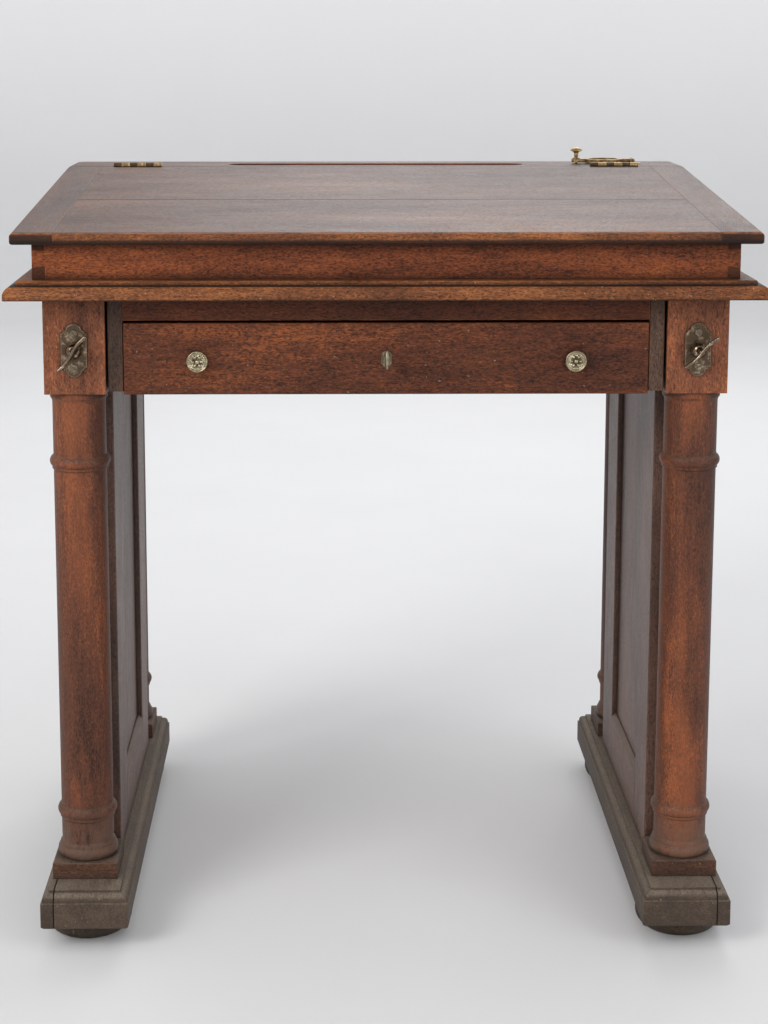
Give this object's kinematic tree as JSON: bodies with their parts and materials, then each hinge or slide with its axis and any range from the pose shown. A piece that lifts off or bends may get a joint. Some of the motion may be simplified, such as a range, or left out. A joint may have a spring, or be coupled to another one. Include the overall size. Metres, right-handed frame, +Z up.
{
  "type": "slant-top writing desk",
  "caption": "Oak writing desk with a hinged sloping lid, pen shelf and inkwell, a locking drawer, and a case that rises on rods from turned columns.",
  "frame": {"origin": "on the floor, at the middle of the footprint", "axes": "+Z up, the front with the drawer faces -Y, +X to the right of somebody facing the front"},
  "size_m": [0.866, 0.666, 0.913],
  "materials": {
    "oak_front": "old waxed oak, red brown",
    "oak_carcass": "dark worn oak",
    "oak_top": "grey brown worn oak with a dull sheen",
    "oak_base": "dusty grey brown oak",
    "oak_inner": "dry unpolished wood",
    "brass_aged": "aged brass, rubbed bright on the edges",
    "brass_pale": "pale worn brass",
    "bronze_dark": "dark bronzed metal",
    "steel_dark": "old drawn iron",
    "ink_glass": "thick moulded glass"
  },
  "bodies": {
    "base": {"bun_feet": "oak_base", "plinth_left": "oak_base", "plinth_right": "oak_base", "plinth_strips": "oak_base", "column_blocks": "oak_base", "column_front_left": "oak_front", "column_front_right": "oak_front", "column_back_left": "oak_front", "column_back_right": "oak_front", "post_front_left": "oak_front", "post_front_right": "oak_front", "post_back_left": "oak_front", "post_back_right": "oak_front", "side_stiles_left": "oak_base", "side_stiles_right": "oak_base", "bottom_rail_left": "oak_base", "bottom_rail_right": "oak_base", "side_panel_left": "oak_base", "side_panel_right": "oak_base", "side_apron_left": "oak_base", "side_apron_right": "oak_base", "back_rail": "oak_carcass", "clamp_plates": "bronze_dark", "clamp_plate_screws": "bronze_dark"},
    "upper_case": {"moulded_top": "oak_front", "guide_rods": "steel_dark", "slope_case_front": "oak_front", "slope_case_left": "oak_front", "slope_case_right": "oak_front", "slope_case_back": "oak_carcass", "pen_shelf": "oak_top", "hinge_leaves_shelf": "brass_aged", "hinge_pins": "steel_dark", "case_stiles": "oak_carcass", "case_top_rail": "oak_carcass", "case_sides": "oak_carcass", "case_back_panel": "oak_carcass", "inkwell_pot": "ink_glass", "inkwell_bracket": "brass_aged", "inkwell_pin": "steel_dark"},
    "lid": {"lid_front_board": "oak_top", "lid_rear_board": "oak_top", "lid_end_left": "oak_top", "lid_end_right": "oak_top", "hinge_leaves_lid": "brass_aged"},
    "drawer": {"drawer_front": "oak_front", "drawer_sides": "oak_inner", "drawer_back": "oak_inner", "drawer_bottom": "oak_inner", "drawer_knobs": "brass_pale", "escutcheon": "brass_aged", "lock_case": "steel_dark"},
    "key": {"key": "steel_dark"},
    "lock_bolt": {"lock_bolt": "steel_dark"},
    "inkwell_clamp": {"inkwell_ring": "brass_aged", "inkwell_knob": "brass_aged"},
    "clamp_left": {"clamp_handle_left": "bronze_dark"},
    "clamp_right": {"clamp_handle_right": "bronze_dark"}
  },
  "joints": [
    {"name": "top_lift", "type": "slide", "parent": "base", "child": "upper_case", "axis": [0, 0, 1], "range_m": [0, 0.22]},
    {"name": "lid_hinge", "type": "hinge", "parent": "upper_case", "child": "lid", "pos_m": [0, 0.214, 0.891], "axis": [-1, 0, 0], "range_deg": [0, 100]},
    {"name": "drawer_slide", "type": "slide", "parent": "upper_case", "child": "drawer", "axis": [0, -1, 0], "range_m": [0, 0.3]},
    {"name": "key_turn", "type": "hinge", "parent": "drawer", "child": "key", "pos_m": [0, -0.286, 0.705], "axis": [0, 1, 0], "range_deg": [0, 180]},
    {"name": "bolt_throw", "type": "slide", "parent": "drawer", "child": "lock_bolt", "axis": [0, 0, 1], "range_m": [0, 0.0081]},
    {"name": "inkwell_clamp_hinge", "type": "hinge", "parent": "upper_case", "child": "inkwell_clamp", "pos_m": [0.36, 0.267, 0.8945], "axis": [0, 1, 0], "range_deg": [0, 100]},
    {"name": "clamp_screw_left", "type": "hinge", "parent": "base", "child": "clamp_left", "pos_m": [-0.358, -0.288, 0.7125], "axis": [0, 1, 0], "range_deg": [0, 180]},
    {"name": "clamp_screw_right", "type": "hinge", "parent": "base", "child": "clamp_right", "pos_m": [0.358, -0.288, 0.7125], "axis": [0, 1, 0], "range_deg": [0, 180]}
  ],
  "couplings": [
    {"joint": "bolt_throw", "follows": "key_turn", "m_per_rad": 0.00255}
  ]
}
